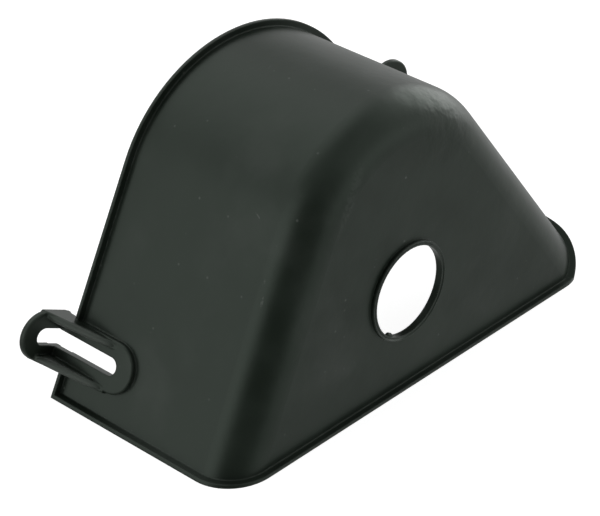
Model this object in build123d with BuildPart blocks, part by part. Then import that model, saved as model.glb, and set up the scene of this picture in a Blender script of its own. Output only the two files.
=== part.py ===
"""Belt guard: a one-piece moulded hood, open below and behind, with a slotted ear and a lug."""

import os
from math import acos, atan2, cos, degrees, hypot, radians, sin, tan

from build123d import *

# Arch line of the hood, seen square on to its flat front face (millimetres, degrees)
LENGTH = 184.3  # left foot to right end
HEIGHT = 108.1  # crown above the bottom rim
LEG_LEAN = 24.6  # the left side leans inwards from upright
CROWN_RADIUS = 52.3
END_RADIUS = 21.0
END_HEIGHT = 1.9  # middle of the end arc above the bottom rim

# Wall, front rounding and the two back planes
WALL = 1.4
FACE_ROUND = 13.6
RIM_DEPTH = 82.5  # front face to back plane, at the left foot
RIM_SWEEP = 4.6  # turn of the back plane: the hood is a little deeper on its left
RUN_LENGTH = 177.4  # left foot to the front corner where the hood runs out to nothing
RUN_ANGLE = 58.0  # turn of the run-out plane, along the slope
RUN_ROUND = 8.0  # rounding where the two back planes meet
CLEAR = 12.0  # run of a cutting form past the faces that it opens

# Lips along the bottom and the back
LIP_WIDTH = 2.4
LIP_THICK = 1.2

# Round opening in the front face, with its raised collar
HOLE_X = 84.5
HOLE_Z = 38.2
HOLE_RADIUS = 16.5
COLLAR_WALL = 0.6
COLLAR_HEIGHT = 1.2
COLLAR_FLARE = 1.1  # the collar widens this far towards its foot

# Fixings: a raised pad on the wall, a strap past the rim, and a plate turned outwards between two webs
FIXING_WIDTH = 18.0
PAD_REACH = 30.0
PAD_RAISE = 2.0
STRAP_THICK = 2.8
SET_BACK = 5.4  # front of the plate behind the rim
PLATE_THICK = 2.5
WEB_THICK = 2.6
WEB_OUT = 11.0
WEB_ALONG = 20.4
FIXING_ROUND = 0.7  # softened edges

# Slotted ear on the left side, and lug with a screw hole on the slope
EAR_UP = 18.9  # middle of the ear above the bottom rim, along the leaning side
EAR_OUT = 8.3  # middle of the round end from the wall
SLOT_WIDTH = 6.3
SLOT_ALONG = 22.8
LUG_DOWN = 45.1  # middle of the lug from the top of the straight slope
LUG_OUT = 11.1
LUG_HOLE_RADIUS = 2.75


def unit(angle):
    """Direction in the front plane, degrees from level."""
    return Vector(cos(radians(angle)), sin(radians(angle)))


# Centres of the arcs, and the directions square to the arch line
crown_z = HEIGHT - CROWN_RADIUS
crown_x = (CROWN_RADIUS + crown_z * sin(radians(LEG_LEAN))) / cos(radians(LEG_LEAN))
CROWN_CENTRE = Vector(crown_x, crown_z)
END_CENTRE = Vector(LENGTH - END_RADIUS, END_HEIGHT)
apart = END_CENTRE - CROWN_CENTRE
tangent = acos((CROWN_RADIUS - END_RADIUS) / hypot(apart.X, apart.Y))
LEG_SIDE = 180 - LEG_LEAN
SLOPE_SIDE = degrees(atan2(apart.Y, apart.X) + tangent)
END_SIDE = 0
LEG_RUN = unit(LEG_SIDE - 90)
SLOPE_RUN = unit(SLOPE_SIDE - 90)

# Back plane that the fixings follow, and the plane that the hood runs out along
RIM = Plane(origin=(0, RIM_DEPTH, 0), z_dir=(tan(radians(RIM_SWEEP)), 1, 0))
run_out = SLOPE_RUN * tan(radians(RUN_ANGLE))
RUN = Plane(origin=(RUN_LENGTH, -LIP_WIDTH, 0), z_dir=(run_out.X, 1, run_out.Y))


def form(grow, foot):
    """Solid of the arch, moved outwards by grow, with its front edge rounded and its feet cut level."""

    def rest(centre, radius, angle):
        return centre + unit(angle) * (radius + grow)

    def sweep(centre, radius, start, end):
        middle = (start + end) / 2
        return ThreePointArc(*(rest(centre, radius, angle) for angle in (start, middle, end)))

    leg_top = rest(CROWN_CENTRE, CROWN_RADIUS, LEG_SIDE)
    leg_foot = leg_top - LEG_RUN * ((leg_top.Y - foot) / LEG_RUN.Y)
    end_foot = Vector(LENGTH + grow, foot)
    with BuildPart() as solid:
        with BuildSketch(Plane.XZ.offset(grow)):
            with BuildLine():
                Line(leg_foot, leg_top)
                sweep(CROWN_CENTRE, CROWN_RADIUS, LEG_SIDE, SLOPE_SIDE)
                Line(rest(CROWN_CENTRE, CROWN_RADIUS, SLOPE_SIDE), rest(END_CENTRE, END_RADIUS, SLOPE_SIDE))
                sweep(END_CENTRE, END_RADIUS, SLOPE_SIDE, END_SIDE)
                Line(rest(END_CENTRE, END_RADIUS, END_SIDE), end_foot)
                Line(end_foot, leg_foot)
            make_face()
        extrude(amount=-RIM_DEPTH - grow - CLEAR)
        face = solid.faces().sort_by(Axis.Y)[0]
        arch = [edge for edge in face.edges() if edge.center().Z > foot + 0.01]
        fillet(arch, FACE_ROUND + grow)
    return solid.part


def room(inset):
    """All that lies in front of both back planes, moved forwards by inset."""
    big = 4 * LENGTH
    with BuildPart() as space:
        for plane, mode in ((RIM, Mode.ADD), (RUN, Mode.INTERSECT)):
            half = Box(big, big, big, align=(Align.CENTER, Align.CENTER, Align.MAX), mode=Mode.PRIVATE)
            add(plane.offset(-inset) * half, mode=mode)
        along = Axis((0, 0, 0), RIM.z_dir.cross(RUN.z_dir))
        turn = space.edges().filter_by(along).sort_by_distance((LENGTH, RIM_DEPTH, 0))[0]
        fillet(turn, RUN_ROUND - inset)
    return space.part


def rim_spot(spot, run):
    """Plane on the back rim: outwards along x, onwards along the arch line in y, back along z."""
    onward = Vector(run.X, -run.X * tan(radians(RIM_SWEEP)), run.Y)
    origin = (spot.X, RIM_DEPTH - spot.X * tan(radians(RIM_SWEEP)), spot.Y)
    return Plane(origin=origin, x_dir=onward.cross(RIM.z_dir), z_dir=RIM.z_dir)


def wall_at(spot, side):
    """Plane of the outer wall at a rim spot: forwards along x, outwards along z."""
    return Plane(origin=spot.origin, x_dir=(0, -1, 0), z_dir=(unit(side).X, 0, unit(side).Y))


def tab(width, reach, inside):
    """Tongue along x, from a run inside its origin to the middle of its round end."""
    body = Pos((reach - inside) / 2, 0) * Rectangle(reach + inside, width, mode=Mode.PRIVATE)
    return body + Pos(reach, 0) * Circle(width / 2, mode=Mode.PRIVATE)


def tongue(plane, reach, inside, thick):
    """Slab of a fixing on a plane, with a round end and softened edges."""
    with BuildPart() as slab:
        with BuildSketch(plane):
            add(tab(FIXING_WIDTH, reach, inside))
        extrude(amount=thick)
        faces = slab.faces().sort_by(Axis(plane.origin, plane.z_dir))
        fillet(faces[0].edges() + faces[-1].edges(), FIXING_ROUND)
    return slab.part


def web(spot, wall, edge, back):
    """Slanting web from the back of the plate down to the pad, with its outer edges softened."""
    plane = Plane(origin=spot.origin + spot.y_dir * edge, x_dir=spot.x_dir, z_dir=spot.y_dir)
    foot = plane.to_local_coords(plane.origin + wall.x_dir * WEB_ALONG)
    heel = plane.to_local_coords(plane.origin + spot.z_dir * back)
    corners = [(0, heel.Y), (WEB_OUT, heel.Y), (foot.X + PAD_RAISE, foot.Y), (foot.X, foot.Y)]
    with BuildPart() as rib:
        with BuildSketch(plane):
            Polygon(*corners, align=None)
        extrude(amount=WEB_THICK)
        slant = plane.from_local_coords(Vector(*corners[2])) - plane.from_local_coords(Vector(*corners[1]))
        fillet(rib.edges().filter_by(Axis(plane.origin, slant)), FIXING_ROUND)
    return rib.part


def fixing(spot, side, out):
    """Pad, strap, plate and two webs of one fixing, cut off flush with the back of its plate."""
    wall = wall_at(spot, side)
    root = STRAP_THICK - PAD_RAISE
    back = SET_BACK + PLATE_THICK
    with BuildPart() as piece:
        add(tongue(wall.offset(-root), PAD_REACH - FIXING_WIDTH / 2, back + CLEAR, STRAP_THICK))
        add(tongue(spot.offset(SET_BACK), out, root, PLATE_THICK))
        for edge in (-FIXING_WIDTH / 2, FIXING_WIDTH / 2 - WEB_THICK):
            add(web(spot, wall, edge, back))
        split(bisect_by=spot.offset(back), keep=Keep.BOTTOM)
    return piece.part


outer = form(0, 0)
inner = form(-WALL, -CLEAR)
flange = form(LIP_WIDTH, 0)
space = room(0)

slope_top = CROWN_CENTRE + unit(SLOPE_SIDE) * CROWN_RADIUS
ear = rim_spot(LEG_RUN * EAR_UP, LEG_RUN)
lug = rim_spot(slope_top + SLOPE_RUN * LUG_DOWN, SLOPE_RUN)

# Lips: the widened form, kept only along the bottom and the back, and left out between the webs
below = Box(4 * LENGTH, 4 * LENGTH, LIP_THICK, align=(Align.CENTER, Align.CENTER, Align.MIN))
gap = Box(CLEAR, FIXING_WIDTH - WEB_THICK, CLEAR, align=(Align.MIN, Align.CENTER, Align.CENTER))
bottom_lip = flange & below & space
back_lip = (flange & space) - room(LIP_THICK) - ear * gap - lug * gap

with BuildPart() as hood:
    add(outer & space)
    add(bottom_lip)
    add(back_lip)

    # Collar round the front opening
    with BuildSketch(Plane.XZ):
        with Locations((HOLE_X, HOLE_Z)):
            Circle(HOLE_RADIUS + COLLAR_WALL + COLLAR_FLARE)
    extrude(amount=COLLAR_HEIGHT, taper=degrees(atan2(COLLAR_FLARE, COLLAR_HEIGHT)))

    # Hollow and front opening
    add(inner, mode=Mode.SUBTRACT)
    with BuildSketch(Plane.XZ):
        with Locations((HOLE_X, HOLE_Z)):
            Circle(HOLE_RADIUS)
    extrude(amount=COLLAR_HEIGHT + WALL, both=True, mode=Mode.SUBTRACT)

    # Ear and lug
    add(fixing(ear, LEG_SIDE, EAR_OUT))
    add(fixing(lug, SLOPE_SIDE, LUG_OUT))

    # Slot through the plate of the ear, and on round the corner through the pad
    with BuildSketch(ear.offset(SET_BACK)):
        add(tab(SLOT_WIDTH, EAR_OUT, STRAP_THICK))
    extrude(amount=2 * PLATE_THICK, mode=Mode.SUBTRACT)
    with BuildSketch(wall_at(ear, LEG_SIDE)):
        add(tab(SLOT_WIDTH, SLOT_ALONG - SLOT_WIDTH / 2, SET_BACK + CLEAR))
    extrude(amount=PAD_RAISE + WALL, both=True, mode=Mode.SUBTRACT)

    # Screw hole of the lug
    with BuildSketch(lug.offset(SET_BACK)):
        with Locations((LUG_OUT, 0)):
            Circle(LUG_HOLE_RADIUS)
    extrude(amount=2 * PLATE_THICK, mode=Mode.SUBTRACT)

# The guard stands on its bottom rim, centred over the origin
bounds = hood.part.bounding_box()
with BuildPart() as belt_guard:
    add(Pos(-bounds.center().X, -bounds.center().Y, -bounds.min.Z) * hood.part)

belt_guard.part.label = "belt_guard"
os.makedirs("parts", exist_ok=True)
export_step(belt_guard.part, "parts/belt_guard.step")
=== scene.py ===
"""Belt guard in satin charcoal plastic, standing on a white studio floor."""

from math import cos, pi, radians, sin

import bmesh
import bpy
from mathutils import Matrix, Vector
from mathutils.noise import turbulence


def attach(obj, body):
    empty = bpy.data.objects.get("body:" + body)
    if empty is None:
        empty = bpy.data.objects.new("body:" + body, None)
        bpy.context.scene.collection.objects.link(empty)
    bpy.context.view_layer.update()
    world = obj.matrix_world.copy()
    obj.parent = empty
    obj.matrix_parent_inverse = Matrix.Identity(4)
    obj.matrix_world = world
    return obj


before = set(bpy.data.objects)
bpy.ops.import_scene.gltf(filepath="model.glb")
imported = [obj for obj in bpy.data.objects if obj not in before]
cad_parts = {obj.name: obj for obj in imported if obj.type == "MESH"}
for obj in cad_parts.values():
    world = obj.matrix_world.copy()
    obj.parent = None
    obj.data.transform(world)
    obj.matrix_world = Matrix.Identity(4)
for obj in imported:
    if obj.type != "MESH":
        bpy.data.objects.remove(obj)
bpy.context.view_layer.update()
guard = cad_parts["belt_guard"]
scene = bpy.context.scene
scene.view_settings.view_transform = "Standard"

# Camera (metres, with lens and sensor in millimetres)
AIM = Vector((-0.00941, -0.00171, 0.03567))
EYE = Vector((-0.55953, -0.51194, 0.50568))
LENS = 155.81
SENSOR = 36.0
NEAREST = 0.01

camera = bpy.data.objects.new("camera", bpy.data.cameras.new("camera"))
camera.data.lens = LENS
camera.data.sensor_width = SENSOR
camera.data.clip_start = NEAREST
camera.location = EYE
camera.rotation_euler = (AIM - EYE).to_track_quat("-Z", "Y").to_euler()
scene.collection.objects.link(camera)
scene.camera = camera


def calc(tree, operation, first, second):
    """Math node on two sockets or numbers; gives its result."""
    node = tree.nodes.new("ShaderNodeMath")
    node.operation = operation
    for place, value in zip(node.inputs, (first, second)):
        if isinstance(value, (int, float)):
            place.default_value = value
        else:
            tree.links.new(value, place)
    return node.outputs["Value"]


def vector(tree, operation, first, second, result="Vector"):
    """Vector math node on two sockets or fixed vectors; gives its result."""
    node = tree.nodes.new("ShaderNodeVectorMath")
    node.operation = operation
    for place, value in zip(node.inputs, (first, second)):
        if isinstance(value, (tuple, Vector)):
            place.default_value = value
        else:
            tree.links.new(value, place)
    return node.outputs[result]


def fade(tree, value, start, end):
    """Smooth rise from 0 to 1 as a value goes from start to end."""
    node = tree.nodes.new("ShaderNodeMapRange")
    node.interpolation_type = "SMOOTHSTEP"
    node.inputs["From Min"].default_value = start
    node.inputs["From Max"].default_value = end
    tree.links.new(value, node.inputs["Value"])
    return node.outputs["Result"]


# Studio surround (degrees): patches that add light or take it away, and shade behind the camera
SURROUND = 0.545
LIGHTS = [
    {"azimuth": 168, "elevation": 12, "level": 0.60, "full": 3, "gone": 39},
    {"azimuth": 95, "elevation": 54, "level": 0.52, "full": 7, "gone": 44},
    {"azimuth": 4, "elevation": 17, "level": 2.05, "full": 2, "gone": 33},
    {"azimuth": -60, "elevation": -32, "level": -0.43, "full": 3, "gone": 38},
    {"azimuth": -170, "elevation": 60, "level": -0.21, "full": 17, "gone": 50},
    {"azimuth": 135, "elevation": -42, "level": -0.42, "full": 10, "gone": 40},
    {"azimuth": -75, "elevation": -18, "level": 0.285, "full": 14, "gone": 51},
]
SHADE = {"azimuth": -134, "elevation": -5, "level": 0.86, "full": 25, "gone": 63}
WHITE = (1, 1, 1, 1)


def lobe(tree, sight, azimuth, elevation, level, full, gone):
    """Soft patch of the surround, full within one angle of its middle and gone beyond another."""
    turn = radians(azimuth)
    rise = radians(elevation)
    middle = (cos(rise) * cos(turn), cos(rise) * sin(turn), sin(rise))
    facing = vector(tree, "DOT_PRODUCT", sight, middle, "Value")
    patch = fade(tree, facing, cos(radians(gone)), cos(radians(full)))
    return calc(tree, "MULTIPLY", patch, level)


world = bpy.data.worlds.new("studio")
scene.world = world
world.use_nodes = True
tree = world.node_tree
sight = tree.nodes.new("ShaderNodeTexCoord").outputs["Generated"]
glow = SURROUND
for light in LIGHTS:
    glow = calc(tree, "ADD", lobe(tree, sight, **light), glow)
unshaded = calc(tree, "SUBTRACT", 1.0, lobe(tree, sight, **SHADE))
glow = calc(tree, "MULTIPLY", glow, unshaded)
background = tree.nodes["Background"]
background.inputs["Color"].default_value = WHITE
tree.links.new(glow, background.inputs["Strength"])

# Floor: white paper that doesn't show in the sheen of the plastic
FLOOR_SIZE = 6.0
PAPER_GREY = (0.5, 0.5, 0.5, 1)
PAPER_ROUGH = 0.9
PAPER_GLOW = 0.85

bpy.ops.mesh.primitive_plane_add(size=FLOOR_SIZE, location=(0, 0, 0))
floor = bpy.context.object
floor.name = "floor"
floor.visible_glossy = False
paper = bpy.data.materials.new("paper")
paper.use_nodes = True
shader = paper.node_tree.nodes["Principled BSDF"]
shader.inputs["Base Color"].default_value = PAPER_GREY
shader.inputs["Roughness"].default_value = PAPER_ROUGH
shader.inputs["Specular IOR Level"].default_value = 0.0
shader.inputs["Emission Color"].default_value = WHITE
shader.inputs["Emission Strength"].default_value = PAPER_GLOW
floor.data.materials.append(paper)

# Plastic: near-black green-grey, with clouds, dust haze, specks, scuffs, worn edges, and painted
# highlights on edges, web crests and crown
DARK = (0.0080, 0.0118, 0.0084, 1)
PALE = (0.0116, 0.0164, 0.0122, 1)
DUST = (0.0260, 0.0300, 0.0262, 1)
# Lighter colour of specks, scuffs and worn edges, also laid on as painted highlights
WORN_AND_HIGHLIGHT = (0.1000, 0.1080, 0.1000, 1)
SHEEN_TINT = (0.835, 1.0, 0.87, 1)
ROUGH_LOW = 0.30
ROUGH_HIGH = 0.36
MARK_ROUGH = 0.25

# Clouds and haze: scale and detail of the noise, and the band of it over which they come in
CLOUD_NOISE = (55.0, 4.0)
CLOUD_BAND = (0.30, 0.70)
HAZE_NOISE = (34.0, 7.0)
HAZE_BAND = (0.52, 0.78)
HAZE_STRENGTH = 0.65

# Specks: scale of their cells, the band of cells that have one, and its edge within the cell
SPECK_SCALE = 210.0
SPECK_CHOICE = (0.72, 0.94)
SPECK_BAND = (0.13, 0.03)
SPECK_STRENGTH = 0.6

# Worn edges, partly wear and partly painted highlight: reach in metres, the turn of the surface that
# counts as an edge, and where they are lightened
EDGE_REACH = 0.0008
EDGE_SAMPLES = 4
EDGE_TURN = (0.97, 0.72)
EDGE_NOISE = (420.0, 4.0)
EDGE_BAND = (0.28, 0.66)
EDGE_STRENGTH = 0.55

# Relief: unit height in metres, and the shares of it that grain, waves and marks have
RELIEF = 0.00004
GRAIN_NOISE = (2400.0, 2.0)
GRAIN_SHARE = 0.35
WAVE_NOISE = (110.0, 3.0)
WAVE_SHARE = 3.0
MARK_SHARE = 0.7

# Uneven patch on the right of the crown (metres), with deeper waves
CREASE = (0.0190, -0.0385, 0.0990)
CREASE_REACH = 0.026
CREASE_SHARE = 17.0

# Scuffs, and a painted highlight on the crown: middle (metres), direction, half length and half width
# (metres), and strength
SCUFFS_AND_HIGHLIGHTS = [
    ((-0.0511, -0.0222, 0.0793), (0.3, 0.9, 0.4), 0.0021, 0.00035, 0.55),
    ((-0.0590, -0.0321, 0.0620), (0.4, 0.0, 0.9), 0.0016, 0.00050, 0.45),
    ((-0.0613, -0.0334, 0.0565), (0.4, 0.0, 0.9), 0.0022, 0.00060, 0.50),
    ((-0.0135, 0.0079, 0.1072), (1.0, 0.4, 0.1), 0.0010, 0.00050, 0.50),
    ((0.0268, -0.0441, 0.0786), (0.7, 0.0, -0.7), 0.0010, 0.00050, 0.45),
    # Painted highlight: the bright creased streak at the right of the crown
    ((0.0150, -0.0392, 0.1010), (0.81, -0.23, -0.54), 0.0070, 0.00070, 0.45),
    # Soft lighter streak down the front face beside its left fillet
    ((-0.0310, -0.0438, 0.0860), (0.49, 0.0, 0.87), 0.0160, 0.00260, 0.10),
]
STREAK_NOISE = (900.0, 2.0)
STREAK_BAND = (0.36, 0.62)
MARK_BAND = (1.0, 0.2)

# Painted highlights along the crests of the ear's webs, in the same terms as the scuffs
CREST_HIGHLIGHT_RUN = (0.24, -0.96, -0.145)
CREST_HIGHLIGHTS = [
    ((-0.0884, 0.0309, 0.0124), CREST_HIGHLIGHT_RUN, 0.0150, 0.00250, 0.42),
    ((-0.0820, 0.0304, 0.0264), CREST_HIGHLIGHT_RUN, 0.0150, 0.00250, 0.42),
]


def noise(tree, spot, scale, detail):
    """Noise from 0 to 1 over the surface."""
    node = tree.nodes.new("ShaderNodeTexNoise")
    node.inputs["Scale"].default_value = scale
    node.inputs["Detail"].default_value = detail
    tree.links.new(spot, node.inputs["Vector"])
    return node.outputs["Fac"]


def mix(tree, amount, first, second):
    """Colour that goes from the first to the second as the amount goes from 0 to 1."""
    node = tree.nodes.new("ShaderNodeMix")
    node.data_type = "RGBA"
    tree.links.new(amount, node.inputs["Factor"])
    for place, value in ((node.inputs["A"], first), (node.inputs["B"], second)):
        if isinstance(value, tuple):
            place.default_value = value
        else:
            tree.links.new(value, place)
    return node.outputs["Result"]


def soft_streak(tree, spot, middle, run, half_length, half_width, strength):
    """Soft long streak on the surface, for scuffs and for painted highlights."""
    away = vector(tree, "SUBTRACT", spot, middle)
    along = vector(tree, "DOT_PRODUCT", away, Vector(run).normalized(), "Value")
    along = calc(tree, "MULTIPLY", along, along)
    whole = vector(tree, "DOT_PRODUCT", away, away, "Value")
    across = calc(tree, "SUBTRACT", whole, along)
    along = calc(tree, "DIVIDE", along, half_length ** 2)
    across = calc(tree, "DIVIDE", across, half_width ** 2)
    ring = calc(tree, "ADD", along, across)
    return calc(tree, "MULTIPLY", fade(tree, ring, *MARK_BAND), strength)


plastic = bpy.data.materials.new("charcoal_plastic")
plastic.use_nodes = True
tree = plastic.node_tree
shader = tree.nodes["Principled BSDF"]
spot = tree.nodes.new("ShaderNodeTexCoord").outputs["Object"]

cloud = fade(tree, noise(tree, spot, *CLOUD_NOISE), *CLOUD_BAND)
haze = fade(tree, noise(tree, spot, *HAZE_NOISE), *HAZE_BAND)

speck = tree.nodes.new("ShaderNodeTexVoronoi")
speck.inputs["Scale"].default_value = SPECK_SCALE
tree.links.new(spot, speck.inputs["Vector"])
cell = tree.nodes.new("ShaderNodeSeparateColor")
tree.links.new(speck.outputs["Color"], cell.inputs["Color"])
chosen = fade(tree, cell.outputs["Red"], *SPECK_CHOICE)
marks_and_highlights = calc(tree, "MULTIPLY", fade(tree, speck.outputs["Distance"], *SPECK_BAND), chosen)
marks_and_highlights = calc(tree, "MULTIPLY", marks_and_highlights, SPECK_STRENGTH)

broken = fade(tree, noise(tree, spot, *STREAK_NOISE), *STREAK_BAND)
for mark in SCUFFS_AND_HIGHLIGHTS:
    streak = calc(tree, "MULTIPLY", soft_streak(tree, spot, *mark), broken)
    marks_and_highlights = calc(tree, "MAXIMUM", marks_and_highlights, streak)
# Painted highlights on the web crests, not broken up
for mark in CREST_HIGHLIGHTS:
    marks_and_highlights = calc(tree, "MAXIMUM", marks_and_highlights, soft_streak(tree, spot, *mark))

softened = tree.nodes.new("ShaderNodeBevel")
softened.samples = EDGE_SAMPLES
softened.inputs["Radius"].default_value = EDGE_REACH
facing = tree.nodes.new("ShaderNodeNewGeometry").outputs["Normal"]
turn = vector(tree, "DOT_PRODUCT", softened.outputs["Normal"], facing, "Value")
# Lighter edges, partly wear and partly painted highlight
edge = fade(tree, noise(tree, spot, *EDGE_NOISE), *EDGE_BAND)
edge = calc(tree, "MULTIPLY", fade(tree, turn, *EDGE_TURN), edge)
marks_and_highlights = calc(tree, "MAXIMUM", marks_and_highlights, calc(tree, "MULTIPLY", edge, EDGE_STRENGTH))

colour = mix(tree, cloud, DARK, PALE)
colour = mix(tree, calc(tree, "MULTIPLY", haze, HAZE_STRENGTH), colour, DUST)
# Lighter colour where specks, scuffs, wear and painted highlights fall
colour = mix(tree, marks_and_highlights, colour, WORN_AND_HIGHLIGHT)
tree.links.new(colour, shader.inputs["Base Color"])

rough = calc(tree, "ADD", calc(tree, "MULTIPLY", cloud, ROUGH_HIGH - ROUGH_LOW), ROUGH_LOW)
rough = calc(tree, "ADD", rough, calc(tree, "MULTIPLY", marks_and_highlights, MARK_ROUGH))
tree.links.new(rough, shader.inputs["Roughness"])

creased = fade(tree, vector(tree, "DISTANCE", spot, CREASE, "Value"), CREASE_REACH, 0.0)
depth = calc(tree, "ADD", calc(tree, "MULTIPLY", creased, CREASE_SHARE), WAVE_SHARE)
waves = calc(tree, "MULTIPLY", noise(tree, spot, *WAVE_NOISE), depth)
relief = calc(tree, "MULTIPLY", noise(tree, spot, *GRAIN_NOISE), GRAIN_SHARE)
relief = calc(tree, "ADD", relief, waves)
relief = calc(tree, "ADD", relief, calc(tree, "MULTIPLY", marks_and_highlights, MARK_SHARE))
bump = tree.nodes.new("ShaderNodeBump")
bump.inputs["Strength"].default_value = 1.0
bump.inputs["Distance"].default_value = RELIEF
tree.links.new(relief, bump.inputs["Height"])
tree.links.new(softened.outputs["Normal"], bump.inputs["Normal"])
tree.links.new(bump.outputs["Normal"], shader.inputs["Normal"])
shader.inputs["Specular Tint"].default_value = SHEEN_TINT
guard.data.materials.clear()
guard.data.materials.append(plastic)


def rounded_piece(name, rings, endless=False):
    """Closed smooth piece through rings of points, moulded in one with the guard."""
    mesh = bmesh.new()
    rows = [[mesh.verts.new(point) for point in ring] for ring in rings]
    pairs = list(zip(rows, rows[1:]))
    if endless:
        pairs.append((rows[-1], rows[0]))
    else:
        mesh.faces.new(reversed(rows[0]))
        mesh.faces.new(rows[-1])
    for lower, upper in pairs:
        for side in range(len(lower)):
            after = (side + 1) % len(lower)
            mesh.faces.new((lower[side], lower[after], upper[after], upper[side]))
    for face in mesh.faces:
        face.smooth = True
    bmesh.ops.recalc_face_normals(mesh, faces=mesh.faces)
    data = bpy.data.meshes.new(name)
    mesh.to_mesh(data)
    mesh.free()
    data.materials.append(plastic)
    piece = bpy.data.objects.new(name, data)
    scene.collection.objects.link(piece)
    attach(piece, "root")


# Gate mark: a torn nub of plastic on the lower edge of the front opening
HOLE = Vector((-0.002956, -0.044307, 0.0382))
NUB_REACH = 0.0162
NUB_TURN = -125
NUB_FORWARD = 0.0005
NUB_HALF = Vector((0.0019, 0.0008, 0.0008))
NUB_RISE_POWER = 0.6
NUB_ROUND_POWER = 0.7
NUB_RINGS = 14
NUB_SIDES = 24
NUB_TEAR = 0.00028
TEAR_SCALE = 1400
TEAR_OCTAVES = 3


def signed_power(value, power):
    """Power of a number that keeps its sign."""
    return abs(value) ** power * (1 if value >= 0 else -1)


def nub_rings():
    """Squarish lump with a torn top, its height towards the middle of the opening."""
    inward = Vector((-cos(radians(NUB_TURN)), 0, -sin(radians(NUB_TURN))))
    sideways = Vector((-inward.z, 0, inward.x))
    middle = HOLE - Vector((0, NUB_FORWARD, 0)) - inward * NUB_REACH
    for ring in range(1, NUB_RINGS):
        slope = pi * (ring / NUB_RINGS - 0.5)
        spread = signed_power(cos(slope), NUB_RISE_POWER)
        tall = signed_power(sin(slope), NUB_RISE_POWER) * NUB_HALF.z
        points = []
        for side in range(NUB_SIDES):
            angle = 2 * pi * side / NUB_SIDES
            wide = spread * signed_power(cos(angle), NUB_ROUND_POWER) * NUB_HALF.x
            deep = spread * signed_power(sin(angle), NUB_ROUND_POWER) * NUB_HALF.y
            point = middle + sideways * wide + Vector((0, deep, 0)) + inward * tall
            tear = turbulence(point * TEAR_SCALE, TEAR_OCTAVES, False) * NUB_TEAR
            points.append(point + inward * tear * max(sin(slope), 0))
        yield points


rounded_piece("gate_mark", nub_rings())

# Rounded crests of the webs by the ear and the lug: back end, front end, and the way into the web
EAR_INWARD = Vector((0.877, 0.279, -0.391))
LUG_INWARD = Vector((-0.744, 0.324, -0.585))
CRESTS = {
    "ear_crest_low": ((-0.09154, 0.04418, 0.01443), (-0.08489, 0.01759, 0.01040), EAR_INWARD),
    "ear_crest_high": ((-0.08514, 0.04367, 0.02842), (-0.07848, 0.01707, 0.02440), EAR_INWARD),
    "lug_crest_high": ((0.06857, 0.03130, 0.06393), (0.06087, 0.00586, 0.05964), LUG_INWARD),
    "lug_crest_low": ((0.07788, 0.03055, 0.05168), (0.07018, 0.00511, 0.04739), LUG_INWARD),
}
CREST_RADIUS = 0.00138
CREST_SUNK = 0.0008
CREST_BLUNT = 5
CREST_RINGS = 40
CREST_SIDES = 20


def crest_rings(back, front, inward):
    """Round bar along the crest of a web, drawn to a close at both ends."""
    back = Vector(back)
    front = Vector(front)
    across = (front - back).normalized().cross(inward).normalized()
    for ring in range(1, CREST_RINGS):
        part = ring / CREST_RINGS
        radius = CREST_RADIUS * (1 - abs(2 * part - 1) ** CREST_BLUNT) ** 0.5
        middle = back.lerp(front, part) + inward * CREST_SUNK
        turns = (2 * pi * side / CREST_SIDES for side in range(CREST_SIDES))
        yield [middle + (across * cos(turn) + inward * sin(turn)) * radius for turn in turns]


for name, line in CRESTS.items():
    rounded_piece(name, crest_rings(*line))

# Rim of the collar: a thin upright edge with a rounded top, all round the front opening
RIM_INSIDE = 0.01772
RIM_FOOT = 0.00053
RIM_TOP = 0.00036
RIM_RISE = 0.00118
RIM_ROOT = 0.0002
RIM_INNER = 0.0006
RIM_LOW = 0.00115
RIM_STEPS = 120
RIM_ARC = 8


def rim_rings():
    """Profile, out from the opening and back from the face, turned about the opening's middle."""
    profile = [(-RIM_INNER, -RIM_LOW), (-RIM_INNER, RIM_ROOT), (RIM_FOOT, RIM_ROOT)]
    for step in range(RIM_ARC + 1):
        turn = pi * step / RIM_ARC
        profile.append((RIM_TOP / 2 * (1 + cos(turn)), -RIM_RISE - RIM_TOP / 2 * sin(turn)))
    for step in range(RIM_STEPS):
        angle = 2 * pi * step / RIM_STEPS
        outward = Vector((cos(angle), 0, sin(angle)))
        yield [HOLE + outward * (RIM_INSIDE + out) + Vector((0, deep, 0)) for out, deep in profile]


rounded_piece("collar_rim", rim_rings(), endless=True)
